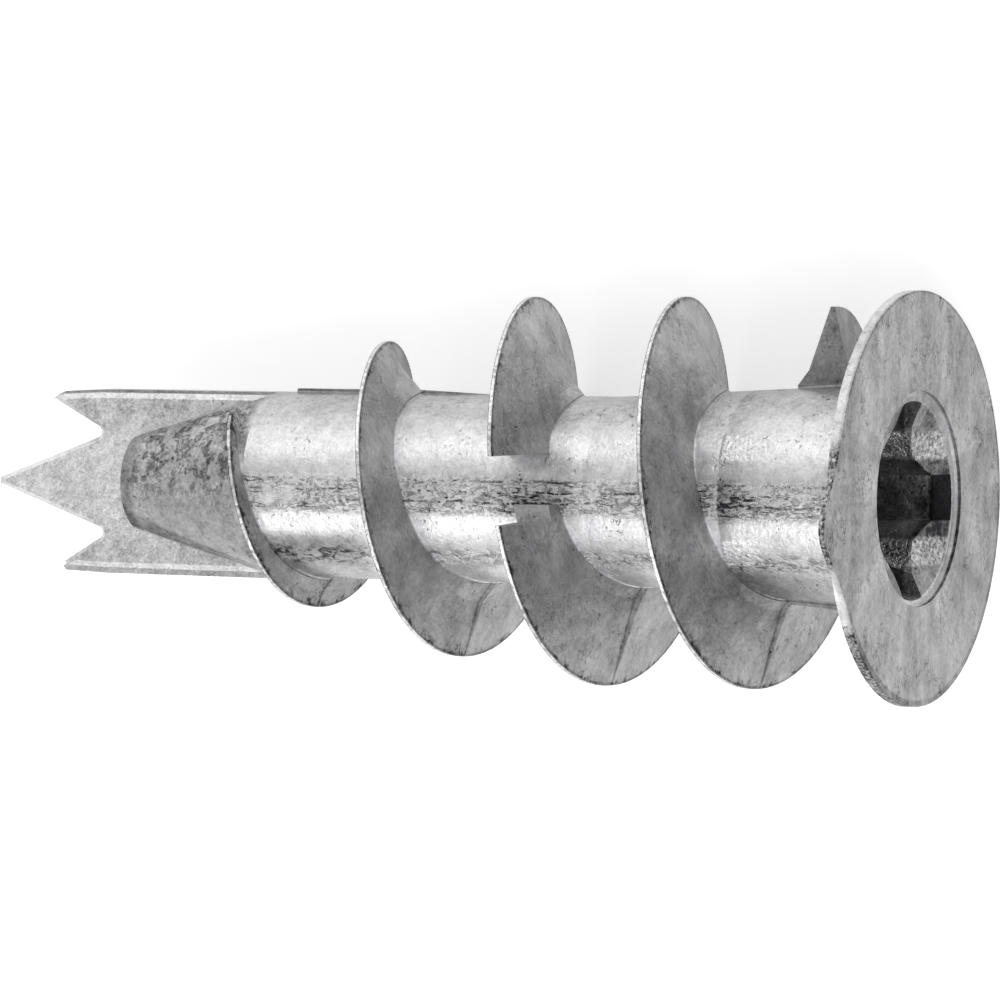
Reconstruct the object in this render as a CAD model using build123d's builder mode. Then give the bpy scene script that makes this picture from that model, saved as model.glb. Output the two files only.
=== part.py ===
"""Self-drilling plasterboard anchor, one zinc die casting.

The anchor is drawn with its axis along X: the flange face is at x = 0 and the drill point at
x = -overall_length. The die parts on the plane y = 0, so the half with y < 0 is the front half and
the half with y > 0 is the back half. The last block lays the finished casting on its side.
"""

import os
from math import atan2, cos, degrees, radians, sin

from build123d import *

# Flange, millimetres
overall_length = 30.8
flange_radius = 6.35
flange_rim = 0.34
flange_root = 0.8
flange_drop = 0.07
seat_radius = 3.3
seat_depth = 0.2
gate_angle = 6.0
gate_half_angle = 24.0
gate_rise = 1.0
gate_thickness = 0.2

# Shank: a flared neck under the flange, a parallel length and a cone that ends blunt in the blade
neck_radius = 3.46
neck_length = 9.9
shank_radius = 2.89
shank_end_radius = 2.86
cone_start = 21.45
cone_end = 26.3
cone_end_radius = 1.52
cone_corner = 0.35

# Flash on the die line: a thin ridge on top of the shank and a ledge of the back half under the neck
ridge_start = 14.0
ridge_peak = 16.6
ridge_end = 21.3
ridge_ramp = 0.5
ridge_height = 0.12
ridge_thickness = 0.2
ledge_end = 4.4
ledge_drop_end = 0.14
ledge_drop_flange = 0.24
ledge_thickness = 0.7

# Driver recess and screw bore
recess_drop = 0.14
recess_mouth_radius = 3.08
recess_floor_radius = 2.3
recess_throat_depth = 1.6
recess_depth = 5.0
wing_reach = 4.0
wing_half_width_mouth = 0.7
wing_half_width_floor = 0.62
land_corner_mouth = 2.4
land_corner_throat = 1.95
land_corner_floor = 1.35
land_nose_mouth = 1.3
land_nose_floor = 1.0
land_top_radius = 0.9
land_top_depth = 1.0
bore_radius = 1.6
bore_depth = 23.2
bore_point = 1.3

# Thread: angles in degrees run from the end face at the top of the die line towards the tip
pitch = 4.962
thread_end = 2.87
crest_radius = 5.99
crest_land = 0.13
full_angle = 702.0
radius_loss_per_turn = 1.43
run_out_angle = 1392.0
start_angle = 1418.0
flank_slope = 0.2
flank_slope_die_line = 0.30
flank_slope_filled = 0.47
back_slope_die_line = 0.24
back_slope_filled = 0.37
end_crest_loss = 0.24
end_ramp = 60.0
run_out_height = 0.01
foot_height = 0.4
foot_reach = 0.03
foot_reach_die_line = 0.16
foot_reach_growth = 0.14
foot_height_growth = 0.27
root_overlap = 0.35
section_step = 15.0

# Notch cut through one turn at the front
notch_top = 1.24
notch_bottom = -0.87
notch_ledge = -0.33
ledge_height = 0.45
notch_turn = 1.75
notch_length = 4.0

# Blade
blade_half_thickness = 0.65
blade_edge = 2.85
blade_root = 20.5
blade_shoulder = 27.4
blade_root_drop = 0.08
top_ledge = 0.07
bottom_ledge = 0.2
edge_bevel = 0.18
tooth_bevel = 0.14
bevel_start = 0.51
bevel_blunt_share = 0.35
tip_half_width = 0.09
valley_length = 27.04
valley_height = 1.53
valley_radius = 0.2
top_prong_length = 29.07
top_prong_blunt = 0.28
bottom_prong_length = 28.9
bottom_prong_blunt = 0.12
prong_reach = 2.66
prong_relief = 0.07

# The casting lies on two crests of its back half, at this place along the turn
rest_angle = 82.0


def shank_radius_at(x):
    """Radius of the shank surface at a place along the axis."""
    if x > -neck_length:
        share = (x + neck_length) / (neck_length - flange_root)
        return shank_radius + (neck_radius - shank_radius) * share
    if x > -cone_start:
        share = (x + cone_start) / (cone_start - neck_length)
        return shank_end_radius + (shank_radius - shank_end_radius) * share
    share = (x + cone_start) / (cone_end - cone_start)
    return shank_end_radius + (shank_end_radius - cone_end_radius) * share


def crest_radius_at(angle, surface):
    """Radius of the thread crest: full near the head, falling to the surface at the tip end."""
    radius = crest_radius - radius_loss_per_turn * max(angle - full_angle, 0) / 360
    if angle < end_ramp:
        radius -= end_crest_loss * (1 - angle / end_ramp)
    if angle > run_out_angle:
        share = (angle - run_out_angle) / (start_angle - run_out_angle)
        radius += (surface - radius) * share
    return max(radius, surface + run_out_height)


def thread_section(angle, front):
    """Thread section in a plane through the axis, as it is in the front or the back half."""
    around = radians(angle + 90)
    outward = Vector(0, -cos(around), sin(around))
    x = -thread_end - pitch * angle / 360
    surface = shank_radius_at(x)
    top = crest_radius_at(angle, surface)
    height = top - surface
    # The die draws along Y, so near the die line one flank is filled out to clear the draw.
    blend = sin(around) ** 4
    head_filled = (sin(around) > 0) == front
    filled = flank_slope_filled if front else back_slope_filled
    natural = flank_slope_die_line if front else back_slope_die_line
    head_line = filled if head_filled else natural
    tip_line = natural if head_filled else filled
    head_slope = flank_slope + (head_line - flank_slope) * blend
    tip_slope = flank_slope + (tip_line - flank_slope) * blend
    # The foot of the flank widens at the die line, more so where the crest has fallen
    loss = crest_radius - top
    full_foot = foot_height + foot_height_growth * loss * blend**3
    full_reach = foot_reach + (foot_reach_die_line + foot_reach_growth * loss - foot_reach) * blend**3
    foot = min(full_foot, height / 2)
    reach = full_reach * foot / full_foot
    head = crest_land / 2
    tip = -crest_land / 2
    inner = surface - root_overlap
    points = [
        (head, top),
        (head + head_slope * (height - foot), surface + foot),
        (head + head_slope * height + reach, surface),
        (head + head_slope * height + reach, inner),
        (tip - tip_slope * height - reach, inner),
        (tip - tip_slope * height - reach, surface),
        (tip - tip_slope * (height - foot), surface + foot),
        (tip, top),
    ]
    plane = Plane(origin=(x, 0, 0), x_dir=(1, 0, 0), z_dir=Vector(1, 0, 0).cross(outward))
    return plane, points


def blade_corners(top_inset, bottom_inset, tooth_inset, blunt_share):
    """Corners of the blade outline: sides moved inwards, and blunt ends cut to a share of their width."""
    corners = [
        (-blade_root, blade_edge),
        (-blade_shoulder, blade_edge),
        (-top_prong_length + top_prong_blunt, blade_edge - prong_relief),
        (-top_prong_length, prong_reach),
        (-valley_length, valley_height),
        (-overall_length, tip_half_width),
        (-overall_length, -tip_half_width),
        (-valley_length, -valley_height),
        (-bottom_prong_length, -prong_reach),
        (-bottom_prong_length + bottom_prong_blunt, -blade_edge + prong_relief),
        (-blade_shoulder, -blade_edge),
        (-blade_root, -blade_edge - blade_root_drop),
    ]
    blunt_sides = (2, 5, 8)
    insets = [top_inset] * 2 + [0] + [tooth_inset] * 2 + [0]
    insets += [tooth_inset] * 2 + [0] + [bottom_inset] * 2 + [0]
    starts = [Vector(*corner) for corner in corners]
    ways = [(end - start).normalized() for start, end in zip(starts, starts[1:] + starts[:1])]

    def crossing(first, second, share):
        """Point where two sides cross when each is moved in by a share of its inset."""
        one = starts[first] + ways[first].rotate(Axis.Z, 90) * insets[first] * share
        other = starts[second] + ways[second].rotate(Axis.Z, 90) * insets[second] * share
        reach = (other - one).cross(ways[second]).Z / ways[first].cross(ways[second]).Z
        return one + ways[first] * reach

    moved = []
    for side, start in enumerate(starts):
        before = side - 2 if side - 1 in blunt_sides else side - 1
        after = side + 1 if side in blunt_sides else side
        point = crossing(before, after, 1)
        if after - before > 1:
            point += (start - crossing(before, after, 0)) * blunt_share
        moved.append(point)
    return moved


# Thread: each half turn is lofted by itself, because the two die halves meet with a small step
with BuildPart() as thread:
    half_turn = 0
    while half_turn * 180 < start_angle:
        first = half_turn * 180
        last = min(first + 180, start_angle)
        steps = max(round((last - first) / section_step), 2)
        for step in range(steps + 1):
            plane, points = thread_section(first + (last - first) * step / steps, half_turn % 2 == 1)
            with BuildSketch(plane):
                with BuildLine():
                    Polyline(*points, close=True)
                make_face()
        loft()
        half_turn += 1
    # The notch goes down to the shank and leaves a low ledge at its lower side
    notch_x = -thread_end - pitch * notch_turn
    with Locations((notch_x, -bore_radius, notch_ledge)):
        Box(
            notch_length,
            crest_radius,
            notch_top - notch_ledge,
            align=(Align.CENTER, Align.MAX, Align.MIN),
            mode=Mode.SUBTRACT,
        )
    with Locations((notch_x, -shank_radius - ledge_height, notch_bottom)):
        Box(
            notch_length,
            crest_radius,
            notch_ledge - notch_bottom,
            align=(Align.CENTER, Align.MAX, Align.MIN),
            mode=Mode.SUBTRACT,
        )

# Shank and flange
with BuildPart() as body:
    with BuildSketch(Plane.XY):
        with BuildLine():
            Polyline(
                (-flange_rim / 2, 0),
                (-flange_rim / 2, neck_radius),
                (-neck_length, shank_radius),
                (-cone_start, shank_end_radius),
                (-cone_end, cone_end_radius),
                (-cone_end, 0),
                close=True,
            )
        make_face()
        end_corner = vertices().sort_by(Axis.X)[:2].sort_by(Axis.Y)[-1]
        fillet(end_corner, cone_corner)
    revolve(axis=Axis.X)
    # The flange and the recess come from a third slide, which sits a little low
    with Locations(Plane.YZ.offset(-flange_rim).move(Location((0, -flange_drop, 0)))):
        Cylinder(flange_radius, flange_rim, align=(Align.CENTER, Align.CENTER, Align.MIN))
        Cone(
            neck_radius,
            flange_radius - flange_rim,
            flange_root - flange_rim,
            align=(Align.CENTER, Align.CENTER, Align.MAX),
        )
    # Gate witness, a thin bulge of the rim at the front
    with BuildSketch(Plane.YZ.move(Location((0, -flange_drop, 0)))):
        with BuildLine():
            bulge_ends = [180 + gate_angle + side * gate_half_angle for side in (-1, 1)]
            starts = [Vector(flange_radius, 0).rotate(Axis.Z, angle) for angle in bulge_ends]
            peak = Vector(flange_radius + gate_rise, 0).rotate(Axis.Z, 180 + gate_angle)
            ways = [Vector(0, 1).rotate(Axis.Z, angle) for angle in bulge_ends]
            bulge = Spline(starts[0], peak, starts[1], tangents=ways)
            Polyline(bulge @ 1, (0, 0), bulge @ 0)
        make_face()
    extrude(amount=-gate_thickness)

# Flash, drawn on the die plane with its foot sunk into the shank
with BuildPart() as flash:
    with BuildSketch(Plane.XZ):
        with BuildLine():
            Polyline(
                (-ridge_start, cone_end_radius),
                (-ridge_start, shank_radius_at(-ridge_start)),
                (-ridge_peak, shank_radius_at(-ridge_peak) + ridge_height),
                (-ridge_end + ridge_ramp, shank_radius_at(-ridge_end) + ridge_height),
                (-ridge_end, cone_end_radius),
                close=True,
            )
        make_face()
    extrude(amount=ridge_thickness / 2, both=True)
    with BuildSketch(Plane.XZ):
        with BuildLine():
            Polyline(
                (-flange_rim, -bore_radius),
                (-flange_rim, -shank_radius_at(-flange_rim) - ledge_drop_flange),
                (-ledge_end, -shank_radius_at(-ledge_end) - ledge_drop_end),
                (-ledge_end, -bore_radius),
                close=True,
            )
        make_face()
    extrude(amount=-ledge_thickness)

# Drill blade: the front half is narrower than the back half, mostly at the bottom, and bevelled
with BuildPart() as blade:
    for depth, thickness, top_inset, bottom_inset, tooth_inset, blunt_share in (
        (-blade_half_thickness, blade_half_thickness, 0, 0, 0, 1),
        (0, bevel_start, top_ledge, bottom_ledge, 0, 1),
        (bevel_start, 0, top_ledge, bottom_ledge, 0, 1),
        (
            blade_half_thickness,
            0,
            top_ledge + edge_bevel,
            bottom_ledge + edge_bevel,
            tooth_bevel,
            bevel_blunt_share,
        ),
    ):
        with BuildSketch(Plane.XZ.offset(depth)):
            corners = blade_corners(top_inset, bottom_inset, tooth_inset, blunt_share)
            with BuildLine():
                Polyline(*corners, close=True)
            make_face()
            valleys = [(-valley_length, side * valley_height) for side in (1, -1)]
            deepest = [vertices().sort_by_distance(valley)[0] for valley in valleys]
            fillet(deepest, valley_radius + tooth_inset)
        if thickness:
            extrude(amount=thickness)
    loft(ruled=True)

# Driver recess, a cross whose four lands stand in as noses, and the bore that takes the screw
with BuildPart() as recess:
    recess_centre = Location((0, -recess_drop, 0))
    for depth, half_width, corner, nose in (
        (0, wing_half_width_mouth, land_corner_mouth, land_nose_mouth),
        (recess_throat_depth, wing_half_width_mouth, land_corner_throat, land_nose_mouth),
        (recess_depth, wing_half_width_floor, land_corner_floor, land_nose_floor),
    ):
        with BuildSketch(Plane.YZ.offset(-depth).move(recess_centre)):
            right = [
                (half_width, wing_reach),
                (half_width, corner),
                (nose, nose),
                (corner, half_width),
                (wing_reach, half_width),
            ]
            top_right_to_bottom = right + [(y, -z) for y, z in reversed(right)]
            bottom_left_to_top = [(-y, -z) for y, z in top_right_to_bottom]
            with BuildLine():
                Polyline(*top_right_to_bottom, *bottom_left_to_top, close=True)
            make_face()
    loft(ruled=True)
    with Locations(Plane.YZ.offset(-recess_depth).move(recess_centre)):
        Cone(
            recess_floor_radius,
            recess_mouth_radius,
            recess_depth,
            align=(Align.CENTER, Align.CENTER, Align.MIN),
            mode=Mode.INTERSECT,
        )
    # The tops of the four lands slope inwards from the edge of the mouth
    with Locations(Plane.YZ.offset(-seat_depth).move(recess_centre)):
        Cone(
            land_top_radius,
            recess_mouth_radius,
            land_top_depth,
            align=(Align.CENTER, Align.CENTER, Align.MAX),
        )
    with Locations(Plane.YZ.offset(-bore_depth).move(recess_centre)):
        Cylinder(bore_radius, bore_depth, align=(Align.CENTER, Align.CENTER, Align.MIN))
        Cone(0, bore_radius, bore_point, align=(Align.CENTER, Align.CENTER, Align.MAX))

with BuildPart() as anchor:
    add(body.part)
    add(thread.part)
    add(blade.part)
    add(flash.part)
    # Seat round the recess
    with Locations(Plane.YZ.move(Location((0, -flange_drop, 0)))):
        Cylinder(
            seat_radius,
            seat_depth,
            align=(Align.CENTER, Align.CENTER, Align.MAX),
            mode=Mode.SUBTRACT,
        )
    add(recess.part, mode=Mode.SUBTRACT)

# The anchor as it lies: two crests one turn apart touch the ground
first_crest = crest_radius_at(rest_angle + 360, shank_radius)
second_crest = crest_radius_at(rest_angle + 720, shank_radius)
lift = degrees(atan2(first_crest - second_crest, pitch))
with BuildPart() as lying:
    with Locations(Rotation(0, -lift, 0) * Rotation(rest_angle - 180, 0, 0)):
        add(anchor.part)
box = lying.part.bounding_box()
with BuildPart() as placed:
    with Locations((-box.center().X, -box.center().Y, -box.min.Z)):
        add(lying.part)

placed.part.label = "anchor"
os.makedirs("parts", exist_ok=True)
export_step(placed.part, "parts/anchor.step")
print("solids", len(placed.part.solids()), "volume", round(placed.part.volume, 2))
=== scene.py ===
"""Looks of the zinc plasterboard anchor: as-cast metal, burnished where it has been tumbled."""

from math import tau

import bpy
from mathutils import Matrix, Vector

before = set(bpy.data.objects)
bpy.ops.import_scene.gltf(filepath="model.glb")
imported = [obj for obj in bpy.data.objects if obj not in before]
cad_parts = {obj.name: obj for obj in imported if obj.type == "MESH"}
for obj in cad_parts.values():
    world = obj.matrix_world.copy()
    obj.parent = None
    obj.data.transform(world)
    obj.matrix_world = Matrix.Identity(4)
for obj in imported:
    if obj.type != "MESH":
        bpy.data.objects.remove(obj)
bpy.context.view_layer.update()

# The anchor is one pressure die casting in zinc alloy: flange, shank, thread and blade are one piece
# of metal, cast in a two-part die, broken off its gate at the flange, and tumbled.
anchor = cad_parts["anchor"]

# Zinc alloy, as cast and tumbled. The casting skin is a matt mid grey on the flange and on the flanks
# of the thread, with specks, cracks and cold shuts, and the shank and the crests are burnished light.
darkest_skin = "#303032"
lightest_skin = "#e4e4e5"
zinc = bpy.data.materials.new("zinc_alloy")
zinc.use_nodes = True
tree = zinc.node_tree
tree.nodes.clear()


def linear(hex_colour):
    """An sRGB hex colour as linear RGBA."""
    parts = [int(hex_colour[i:i + 2], 16) / 255 for i in (1, 3, 5)]
    return [p / 12.92 if p < 0.04045 else ((p + 0.055) / 1.055) ** 2.4 for p in parts] + [1]


def add_node(kind, *inputs, **named):
    """Adds a node to the tree. A name in small letters is a setting, and a capital names an input.

    Inputs are values, outputs, or nodes for their first output, in the order of the sockets in use.
    """
    node = tree.nodes.new("ShaderNode" + kind)
    for name, value in named.items():
        if name.islower():
            setattr(node, name, value)
    filled = list(zip((socket for socket in node.inputs if socket.enabled), inputs))
    for name, value in named.items():
        if not name.islower():
            filled.append((node.inputs[name.replace("_", " ")], value))
    for socket, value in filled:
        if isinstance(value, bpy.types.Node):
            value = next(output for output in value.outputs if output.enabled)
        if isinstance(value, bpy.types.NodeSocket):
            tree.links.new(value, socket)
        else:
            socket.default_value = value
    return node


def place(*limits):
    """A place on the casting: all its limits multiplied, so that it is 1 only inside every one.

    A limit is another place, or (value, outside, inside): 0 where the value is at outside or
    further out, 1 where it is at inside or further in, and smooth between.
    """
    shared = None
    for limit in limits:
        if isinstance(limit, tuple):
            limit = add_node("MapRange", *limit, interpolation_type="SMOOTHSTEP")
        shared = limit if shared is None else add_node("Math", shared, limit, operation="MULTIPLY")
    return shared


# The anchor lies on its thread, rolled about its axis and with the flange lifted. Its own coordinates
# are in millimetres: x along the axis with the flange face at 0, the front at -y and z up
roll = -98.0 / 360 * tau
lift = -4.5769 / 360 * tau
own_axes = Matrix.Rotation(lift, 3, "Y") @ Matrix.Rotation(roll, 3, "X")
flange_centre = Vector((15.118572, 0.069319, 6.69361))
to_own = own_axes.transposed()
own = add_node(
    "Mapping", add_node("TexCoord").outputs["Object"], -(to_own @ flange_centre), to_own.to_euler(),
    (1000, 1000, 1000),
)
x, y, z = add_node("SeparateXYZ", own).outputs
across = add_node("VectorMath", own, (0, 1, 1), operation="MULTIPLY")
from_axis = add_node("VectorMath", across, operation="LENGTH")
from_die_plane = add_node("Math", y, operation="ABSOLUTE")
from_mid_height = add_node("Math", z, operation="ABSOLUTE")

# The height above the shank, whose neck flares towards the flange
shank_radius = 2.88
neck_start, neck_end, neck_flare = -9.9, -0.8, 0.56966
flare = add_node("MapRange", x, neck_start, neck_end, 0, neck_flare)
height = add_node("Math", from_axis, shank_radius, operation="SUBTRACT")
height = add_node("Math", height, flare, operation="SUBTRACT")

# The thread crest nearest to each point. The crest passes the top of the shank at thread_end and then
# once each pitch, and past its full turns it comes down towards the tip
pitch = 4.962
thread_end = 2.87
crest_radius = 5.99
full_turns, loss_per_turn = 1.95, 1.43
towards_front = add_node("Math", y, -1, operation="MULTIPLY")
around = add_node("Math", z, towards_front, operation="ARCTAN2")
turn_here = add_node("Math", around, 1 / tau, -0.25, operation="MULTIPLY_ADD")
turns_along = add_node("Math", x, -1 / pitch, -thread_end / pitch, operation="MULTIPLY_ADD")
whole_turns = add_node("Math", turns_along, turn_here, operation="SUBTRACT")
whole_turns = add_node("Math", whole_turns, operation="ROUND")
turns = add_node("Math", whole_turns, turn_here, operation="ADD")
falling_turns = add_node("Math", turns, full_turns, operation="SUBTRACT")
falling_turns = add_node("Math", falling_turns, 0, operation="MAXIMUM")
crest = add_node("Math", falling_turns, -loss_per_turn, crest_radius, operation="MULTIPLY_ADD")
below_crest = add_node("Math", crest, from_axis, operation="SUBTRACT")
beside_crest = add_node("Math", turns_along, turns, operation="SUBTRACT")
beside_crest = add_node("Math", beside_crest, pitch, operation="MULTIPLY")
beside_crest = add_node("Math", beside_crest, operation="ABSOLUTE")

# The shank: painted shade darkens its top and its underside near the neck and the tip, and painted
# light lightens its whole underside a little against the thread's shadow. The patch in the notch of
# the thread is darker than the front. Its rise is the sine of the angle above the front.
shank_end = -21.4
on_shank = place((height, 0.07, 0.03), (x, shank_end - 0.5, shank_end), (x, -0.75, -0.95))
rise = add_node("Math", z, from_axis, operation="DIVIDE")
shaded_shank_top = place(on_shank, (rise, 0.62, 0.86))
shaded_low_left = place(on_shank, (x, -17.2, -18.0), (rise, -0.42, -0.56))
shaded_low_neck = place(on_shank, (x, -6.0, -5.0), (rise, -0.60, -0.84))
lit_low_middle = place(on_shank, (rise, -0.60, -0.75))
notch_left, notch_right, notch_bottom, notch_top = -13.1, -10.2, -1.1, 1.5
in_notch = place(
    on_shank, (x, notch_left, notch_left + 0.4), (x, notch_right, notch_right - 0.4),
    (z, notch_bottom, notch_bottom + 0.3), (z, notch_top, notch_top - 0.3), (y, -1.8, -2.2),
)

# The thread: a rubbed crest with dark edges, and flanks that come out of the die uneven, with a line
# where its two halves meet. Painted light lightens the upper flanks.
thread_tip = -22.1
half_crest = 0.045
along_thread = place((x, thread_tip - 0.2, thread_tip), (x, -1.2, -1.6))
on_crest = place(along_thread, (below_crest, 0.05, 0.02))
crest_middle = place(on_crest, (beside_crest, half_crest + 0.01, half_crest - 0.01))
beside_middle = add_node("Math", on_crest, crest_middle, operation="SUBTRACT")
below_top = add_node("Math", along_thread, on_crest, operation="SUBTRACT")
on_flank = place(below_top, (height, 0.03, 0.10))
crest_edge = add_node("Math", beside_middle, place(on_flank, (below_crest, 0.13, 0.05)), operation="ADD")
back_flank = place(on_flank, (y, -0.01, 0.03))
die_line = place(on_flank, (y, -0.12, -0.06), (y, 0.06, 0.0))
lit_upper_flank = place(on_flank, (x, -17.2, -15.8), (x, -4.0, -6.0), (z, 0.6, 3.6))
first_flank = place(on_flank, (x, -19.4, -18.8), (x, -16.0, -16.8), (y, -0.3, -0.9), (z, 2.8, 1.2))
neck_fin = place(on_flank, (x, -6.0, -4.0), (z, 1.5, 2.5))

# The flange: its face, and a rim that is rubbed light, but torn and dark at the gate and low down
flange_radius = 6.35
on_face = place((x, -0.12, -0.05))
gate = place(on_face, (y, -4.2, -5.2))
face_edge = place(on_face, (from_axis, flange_radius - 0.17, flange_radius - 0.08), (y, -5.6, -4.8))
at_edge = place((from_axis, flange_radius - 0.25, flange_radius - 0.1))
on_rim = place(at_edge, (x, -0.40, -0.34), (x, -0.005, -0.03))
at_gate = place((around, -0.34, -0.24), (around, 0.34, 0.24))
torn = place(on_rim, add_node("Math", at_gate, place((around, -0.60, -0.68)), operation="MAXIMUM"))

# The blade, with its bevel between its flat face and its sides, and the half-cone that ends in it.
# Painted shade darkens the front half of the blade's sides.
blade_half = 0.65
bevel_depth = 0.14
bevel_foot = -blade_half + bevel_depth
past_thread = place((x, shank_end, thread_tip))
on_blade = place(past_thread, (from_die_plane, blade_half + 0.05, blade_half + 0.01))
shaded_blade_side = place(on_blade, (y, bevel_foot - 0.02, bevel_foot + 0.02), (y, 0.0, -0.02))
blade_border = place(on_blade, (from_mid_height, 1.2, 2.1))
bevel = place(
    on_blade, (y, bevel_foot + 0.01, bevel_foot - 0.02), (y, -blade_half - 0.005, -blade_half + 0.015),
)
on_cone = add_node("Math", past_thread, on_blade, operation="SUBTRACT")
cone_end = place(on_cone, (x, -25.7, -25.9))
cone_low = place(on_cone, (y, -1.45, -1.3), (z, 0, -0.2))
cone_foot = place(on_cone, (y, -0.85, -0.75), (z, 0, -0.2))

# The recess: painted shade darkens the slot across it, its sides less so and its far ends least,
# and the noses of the lands are grainy
recess_radius = 3.1
slot_height = -0.14
inside = place((from_axis, recess_radius + 0.15, recess_radius), (x, -5.4, -5.3), (x, -0.21, -0.24))
off_slot = add_node("Math", z, slot_height, operation="SUBTRACT")
off_slot = add_node("Math", off_slot, operation="ABSOLUTE")
slot = place(inside, (off_slot, 0.72, 0.66))
shaded_slot_side = place(inside, (off_slot, 0.66, 0.72), (off_slot, 1.28, 1.12))
nose = place(inside, (off_slot, 1.12, 1.28), (off_slot, 2.1, 1.95))
shaded_slot_end = place(inside, (off_slot, 1.95, 2.1))

# The seat round the recess is sunk 0.2 mm. Painted light lightens its floor and the lower half of
# its side, and a painted shadow darkens the upper half of its side, except at the top of the ring
seat_radius, seat_depth = 3.3, 0.2
on_seat = place((x, -seat_depth - 0.04, -seat_depth - 0.01))
seat_side = place(
    (from_axis, seat_radius - 0.11, seat_radius - 0.05),
    (from_axis, seat_radius + 0.10, seat_radius + 0.06), (x, -0.005, -0.03),
)
seat_wall_shadow = place(seat_side, (x, -0.13, -0.10), (z, 2.6, 0.8))
lit_seat_step = place(seat_side, on_seat, (x, -0.10, -0.13))
lit_seat_floor = place(
    on_seat, (from_axis, recess_radius - 0.08, recess_radius),
    (from_axis, seat_radius - 0.06, seat_radius - 0.10),
)

# Skin of the casting. Scales are in cells per millimetre: patches are 2 mm wide, shades a little over
# 1, clouds half a millimetre, and mottle, specks and pits a quarter to a sixth. The real grain is
# finer than the picture can show, and is drawn a ninth of a millimetre wide.
patches = add_node("TexNoise", own, Scale=0.5, Detail=3, Roughness=0.55)
clouds = add_node("TexNoise", own, Scale=1.9, Detail=4, Roughness=0.62)
mottle = add_node("TexNoise", own, Scale=4.2, Detail=3, Roughness=0.6)
grain = add_node("TexNoise", own, Scale=9, Detail=3, Roughness=0.65)
shades = add_node("TexNoise", own, Scale=0.85, Detail=3, Roughness=0.55)
specks = add_node("TexNoise", own, Scale=4.4, Detail=3, Roughness=0.75, Distortion=0.4)
specks = place((specks, 0.34, 0.26))
pits = add_node("TexNoise", own, Scale=6.5, Detail=2, Roughness=0.6)
pitted = add_node("TexNoise", own, Scale=0.8, Detail=2)
pits = place((pits, 0.40, 0.28), (pitted, 0.48, 0.62))


def thin_lines(stretch, scale, width, detail):
    """Thin wavy lines, where a stretched noise passes its middle value."""
    stretched = add_node("Mapping", own, Scale=stretch)
    waves = add_node("TexNoise", stretched, Scale=scale, Detail=detail, Roughness=0.6, Distortion=0.3)
    from_middle = add_node("Math", waves, 0.5, operation="SUBTRACT")
    from_middle = add_node("Math", from_middle, operation="ABSOLUTE")
    return place((from_middle, width, width * 0.3))


# Fine scratches run round the shank, and hairline cracks run every way
scratched = add_node("TexNoise", own, Scale=2.3, Detail=2)
scratches = place(on_shank, thin_lines((1, 0.3, 0.3), 3.4, 0.012, 3), (scratched, 0.50, 0.62))
cracked = add_node("TexNoise", own, Scale=1.5, Detail=3)
cracks = place(thin_lines((1, 1, 1), 1.7, 0.010, 5), (cracked, 0.54, 0.64))

# Along the middle of the front two flows of metal met, and left long cold shuts and a rough band
seam_gaps = add_node("TexNoise", own, Scale=0.6, Detail=2)
seam = place(
    on_shank, (z, -0.87, -0.47), (z, 0.63, 0.23), (y, -1.5, -2.2), (seam_gaps, 0.26, 0.40),
)
short_shuts = add_node("TexNoise", own, Scale=1.3, Detail=2)
shuts = place(thin_lines((0.16, 1, 1), 3.4, 0.030, 4), (short_shuts, 0.42, 0.54))
sway = 0.22
wander = add_node("TexNoise", own, Scale=0.9, Detail=3, Roughness=0.6)
wander = add_node("Math", wander, sway, -sway / 2, operation="MULTIPLY_ADD")
wandering_z = add_node("Math", z, wander, operation="ADD")
for level, width, scale in (
    (0.36, 0.055, 1.7), (0.02, 0.045, 2.3), (-0.30, 0.055, 2.0), (-0.58, 0.035, 2.9),
):
    from_line = add_node("Math", wandering_z, level, operation="SUBTRACT")
    from_line = add_node("Math", from_line, operation="ABSOLUTE")
    gaps = add_node("TexNoise", own, Scale=scale, Detail=3, Roughness=0.75)
    long_shut = place((from_line, width, width * 0.3), (gaps, 0.47, 0.56))
    shuts = add_node("Math", shuts, long_shut, operation="MAXIMUM")
drawn_out = add_node("Mapping", own, Scale=(0.5, 1, 1))
rough = add_node("TexNoise", drawn_out, Scale=7, Detail=3, Roughness=0.7, Distortion=1)
rough_seam = place(seam, (rough, 0.54, 0.40))
seam_marks = add_node("Math", rough_seam, 0.6, operation="MULTIPLY")
seam_marks = add_node("Math", seam_marks, place(seam, shuts), operation="MAXIMUM")

# A second, fainter rough band runs low on the front
low_rough = add_node("TexNoise", drawn_out, Scale=5, Detail=4, Roughness=0.7, Distortion=1)
low_band = place(
    on_shank, (z, -2.45, -2.15), (z, -1.65, -1.95), (y, -0.9, -1.4), (low_rough, 0.56, 0.40),
)

# The half-cone is lumpy, most so on its upper side
smooth_cone = add_node("Math", cone_end, cone_low, operation="MAXIMUM")
lumpy = place(add_node("Math", on_cone, smooth_cone, operation="SUBTRACT"), (z, -1.0, 0.7))
lumps = add_node("TexNoise", own, Scale=2.6, Detail=4, Roughness=0.75, Distortion=0.3)
lumps = place(lumpy, (lumps, 0.54, 0.42))
folds = place(lumpy, thin_lines((1, 1, 1), 1.7, 0.03, 5))

# The crest is broken bright, dirt sits in the pores beside it, and blots lie on the flanks
broken = add_node("TexNoise", own, Scale=5.5, Detail=3, Roughness=0.7)
broken_crest = place(crest_middle, (broken, 0.40, 0.54))
dirt = add_node("TexNoise", own, Scale=3.2, Detail=4, Roughness=0.75)
crest_dirt = place(on_flank, (below_crest, 0.35, 0.08), (dirt, 0.50, 0.38))
blots = add_node("TexNoise", own, Scale=2.2, Detail=4, Roughness=0.75)
blots = place(on_flank, (blots, 0.36, 0.28))

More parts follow.
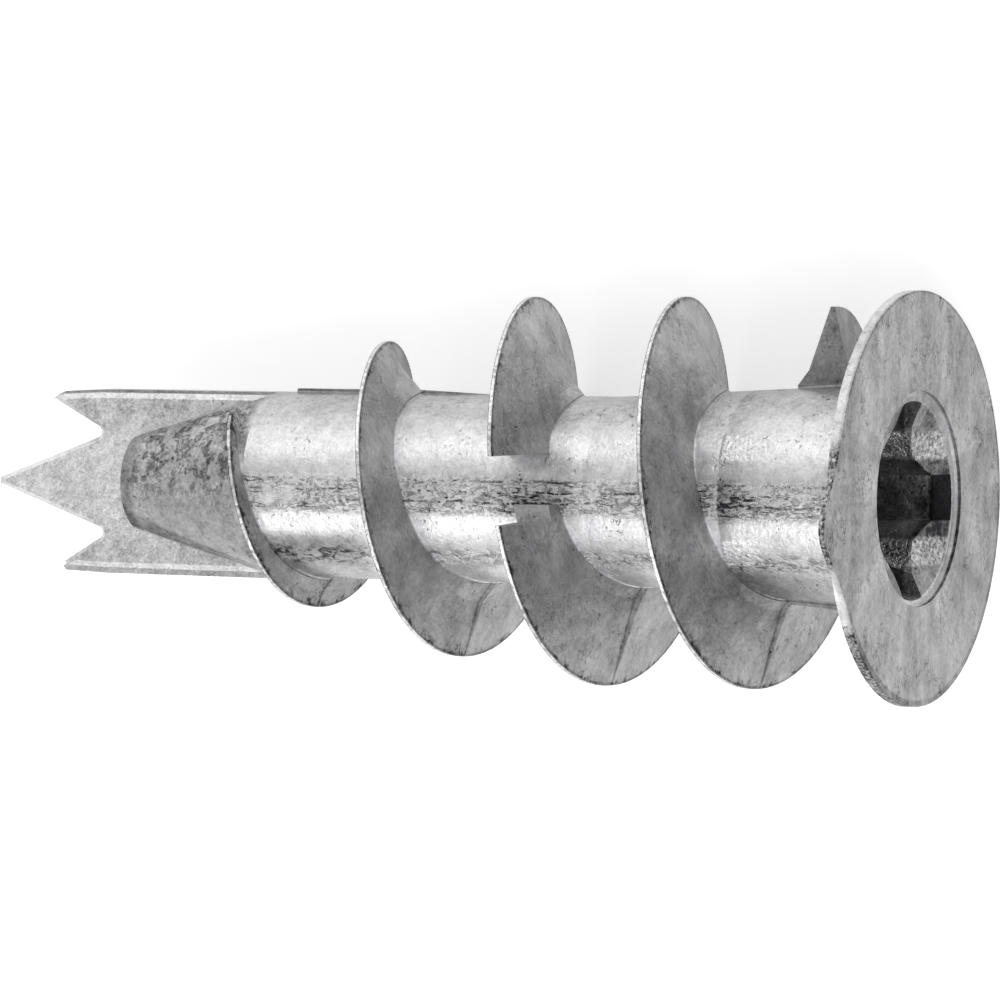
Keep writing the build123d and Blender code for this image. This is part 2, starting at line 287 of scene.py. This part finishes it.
# Worm-like wrinkles lie on the flange face and, fainter, on the flanks, and streaks on the face
wrinkled = add_node("TexNoise", own, Scale=0.8, Detail=3)
wrinkled_skin = add_node("Math", on_flank, 0.55, on_face, operation="MULTIPLY_ADD")
wrinkles = place(wrinkled_skin, thin_lines((1, 1, 0.8), 1.9, 0.026, 4), (wrinkled, 0.48, 0.60))
flowed = add_node("Mapping", own, Scale=(1, 1, 0.22))
streaks = add_node("TexNoise", flowed, Scale=1.6, Detail=4, Roughness=0.6)

# The blade is finely grained, drawn a fifteenth of a millimetre wide to show, and scuffed
blade_grain = add_node("TexNoise", own, Scale=15, Detail=3, Roughness=0.8)
scuffs = add_node("TexNoise", own, Scale=2.6, Detail=5, Roughness=0.75)
scuffs = place(on_blade, (scuffs, 0.46, 0.34))

# Tone of the metal, from the darkest skin at 0 to the lightest at 1: first the patterns, each with the
# place that it covers and its share, then the places and marks with their own shares, some of which
# are painted light and shade
matt_skin = add_node("Math", on_flank, on_face, operation="ADD")
grainy = add_node("Math", nose, torn, operation="ADD")
skin = add_node("Math", on_blade, 0.1, 0.85, operation="MULTIPLY_ADD")
skin = add_node("Math", matt_skin, -0.22, skin, operation="MULTIPLY_ADD")
tone = add_node("Math", on_shank, 0.36, 0.46, operation="MULTIPLY_ADD")
for pattern, covered, share in (
    (patches, 1, 0.42), (clouds, skin, 0.56), (mottle, skin, 0.42), (grain, skin, 0.62),
    (shades, matt_skin, 0.55), (streaks, on_face, 0.4), (blade_grain, on_blade, 1.0),
    (grain, grainy, 1.6),
):
    swing = add_node("Math", pattern, 0.5, operation="SUBTRACT")
    swing = add_node("Math", swing, covered, operation="MULTIPLY")
    tone = add_node("Math", swing, share, tone, operation="MULTIPLY_ADD")
for mark, share in (
    (shaded_shank_top, -0.27), (shaded_low_left, -0.40), (shaded_low_neck, -0.50), (lit_low_middle, 0.07), (in_notch, -0.16),
    (crest_middle, 0.08), (broken_crest, 0.40), (crest_edge, -0.22), (crest_dirt, -0.36),
    (blots, -0.26), (back_flank, 0.04), (die_line, -0.10), (lit_upper_flank, 0.10), (first_flank, 0.22),
    (neck_fin, -0.08), (on_face, -0.03), (gate, -0.10), (face_edge, -0.16), (wrinkles, -0.20),
    (on_rim, 0.30), (torn, -0.46), (on_blade, 0.29), (blade_border, -0.12), (shaded_blade_side, -0.42),
    (bevel, 0.24), (scuffs, -0.16), (on_cone, 0.04), (cone_end, -0.14), (cone_low, -0.20),
    (cone_foot, 0.5), (lumps, -0.36), (folds, 0.20), (slot, -0.62), (shaded_slot_side, -0.36),
    (shaded_slot_end, -0.20), (seat_wall_shadow, -0.28), (lit_seat_step, 0.30), (lit_seat_floor, 0.16), (specks, -0.24),
    (pits, -0.30), (scratches, -0.22), (cracks, -0.24), (seam, -0.09), (seam_marks, -0.58),
    (low_band, -0.42),
):
    tone = add_node("Math", mark, share, tone, operation="MULTIPLY_ADD")
colour = add_node("Mix", tone, linear(darkest_skin), linear(lightest_skin), data_type="RGBA")

# The burnished shank and crests are smoother than the skin, apart from the rough seam
matt_roughness, burnished_by, roughness_swing = 0.52, 0.16, 0.2
burnished = add_node("Math", 1, seam, operation="SUBTRACT")
burnished = add_node("Math", place(on_shank, burnished), on_crest, operation="MAXIMUM")
cloudy = add_node("Math", clouds, 0.5, operation="SUBTRACT")
roughness = add_node("Math", burnished, -burnished_by, matt_roughness, operation="MULTIPLY_ADD")
roughness = add_node("Math", cloudy, roughness_swing, roughness, operation="MULTIPLY_ADD")

# Relief in millimetres: the clouds are shallower on the shank
cloud_depth = add_node("Math", on_shank, -0.045, 0.06, operation="MULTIPLY_ADD")
relief = add_node("Math", clouds, cloud_depth, operation="MULTIPLY")
rough_grain = add_node("Math", grain, grainy, operation="MULTIPLY")
for mark, depth in (
    (grain, 0.008), (pits, -0.02), (rough_seam, -0.015), (low_band, -0.010), (lumps, -0.06),
    (rough_grain, 0.04),
):
    relief = add_node("Math", mark, depth, relief, operation="MULTIPLY_ADD")
bump = add_node("Bump", Strength=1, Distance=0.001, Height=relief)
metal = add_node("BsdfPrincipled", Base_Color=colour, Metallic=1, Roughness=roughness, Normal=bump)
add_node("OutputMaterial", metal)
anchor.data.materials.clear()
anchor.data.materials.append(zinc)

# The floor is a sheet of white paper that the anchor lies on. It glows a little to the camera and in
# the metal, so that it is white in the picture, and it keeps the soft shadow under the anchor.
floor_side = 6.0
paper_white = "#e6e6e6"
glow_strength, glow_in_metal = 0.40, 0.6
half = floor_side / 2
floor_mesh = bpy.data.meshes.new("floor")
corners = [(-half, -half, 0), (half, -half, 0), (half, half, 0), (-half, half, 0)]
floor_mesh.from_pydata(corners, [], [(0, 1, 2, 3)])
floor = bpy.data.objects.new("floor", floor_mesh)
bpy.context.scene.collection.objects.link(floor)
paper = bpy.data.materials.new("paper")
paper.use_nodes = True
tree = paper.node_tree
tree.nodes.clear()
path = add_node("LightPath").outputs
seen = path["Is Camera Ray"]
seen = add_node("Math", path["Is Glossy Ray"], glow_in_metal, seen, operation="MULTIPLY_ADD")
strength = add_node("Math", seen, glow_strength, operation="MULTIPLY")
glow = add_node("Emission", linear("#ffffff"), strength)
sheet = add_node("BsdfDiffuse", linear(paper_white))
add_node("OutputMaterial", add_node("AddShader", sheet, glow))
floor_mesh.materials.append(paper)

# Light: an even white room, and two soft boxes in front, above and below the anchor as the
# photograph shows it. Their places are in its own directions, in metres from the floor under its
# middle, and they face it.
room_strength = 0.75
lit_point = Vector((0, 0, 0.006))
world = bpy.data.worlds.new("world")
bpy.context.scene.world = world
world.use_nodes = True
room = world.node_tree.nodes["Background"].inputs
room["Color"].default_value = linear("#ffffff")
room["Strength"].default_value = room_strength
for name, stand, size, power in (
    ("soft_box_above", (0.037, -0.167, 0.222), (0.40, 0.18), 0.30),
    ("soft_box_below", (0.048, -0.221, -0.173), (0.40, 0.19), 0.55),
):
    stand = own_axes @ Vector(stand)
    lamp = bpy.data.lights.new(name, "AREA")
    lamp.shape = "RECTANGLE"
    lamp.size, lamp.size_y = size
    lamp.energy = power
    holder = bpy.data.objects.new(name, lamp)
    holder.location = stand
    holder.rotation_euler = (lit_point - stand).to_track_quat("-Z", "Y").to_euler()
    bpy.context.scene.collection.objects.link(holder)

# Camera: a long lens 600 mm from the anchor's middle. It stands 24 degrees round from the front
# towards the flange, and 2.4 degrees above.
camera_distance = 0.6
camera_turn, camera_rise = 24.3545 / 360 * tau, 2.4001 / 360 * tau
middle_x = -15.5
turned = Matrix.Rotation(camera_turn, 3, "Z") @ Matrix.Rotation(tau / 4 - camera_rise, 3, "X")
turned = own_axes @ turned
middle = (own_axes @ Vector((middle_x, 0, 0)) + flange_centre) / 1000
camera_data = bpy.data.cameras.new("camera")
camera_data.lens = 701.4
camera_data.sensor_width = 36
camera_data.shift_x = 0.04426
camera_data.shift_y = -0.01234
camera_data.clip_start = 0.05
camera = bpy.data.objects.new("camera", camera_data)
stand = middle + turned.col[2] * camera_distance
camera.matrix_world = Matrix.Translation(stand) @ turned.to_4x4()
bpy.context.scene.collection.objects.link(camera)
bpy.context.scene.camera = camera
bpy.context.scene.view_settings.view_transform = "Standard"
